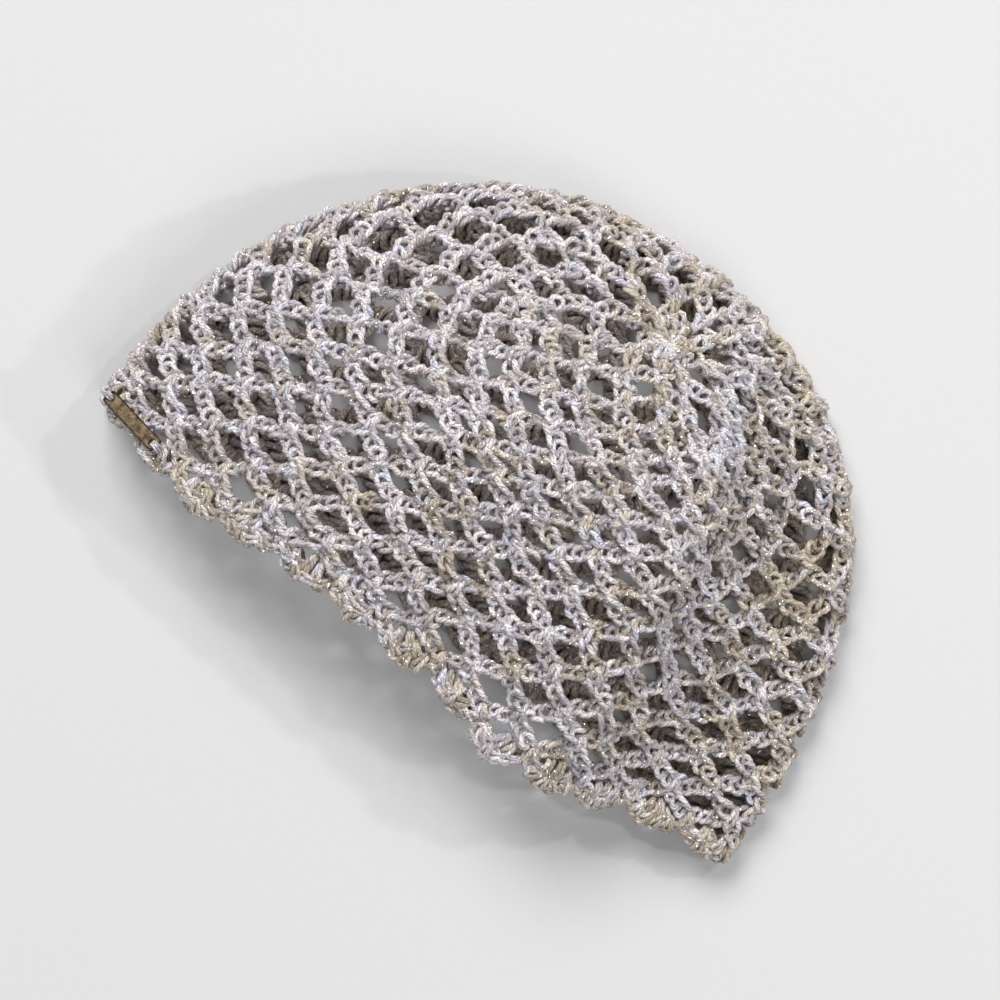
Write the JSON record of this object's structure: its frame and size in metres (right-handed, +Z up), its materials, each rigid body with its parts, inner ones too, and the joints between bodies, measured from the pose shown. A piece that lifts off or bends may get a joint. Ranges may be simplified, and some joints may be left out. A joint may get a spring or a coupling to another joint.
{
  "type": "crochet hat",
  "caption": "Open net crochet hat lying on its side, with a scalloped brim, a close crown and a bare metal bar tag sewn on at one end of the brim.",
  "frame": {"origin": "middle of the bounding box's bottom, on the surface that the hat lies on", "axes": "+X along the brim from the tag's end to the other end, +Y from the brim towards the crown, +Z up"},
  "size_m": [0.2781, 0.1837, 0.0636],
  "materials": {
    "yarn": "matte yarn with a glittering metallic filament",
    "tag_metal": "antique bronze, darkened in the recess",
    "tag_thread": "matte yarn"
  },
  "bodies": {
    "root": {"crown_net": "yarn", "side_net": "yarn", "brim_edging": "yarn", "name_tag_plate": "tag_metal", "tag_stitch_left": "tag_thread", "tag_stitch_right": "tag_thread"}
  },
  "joints": []
}
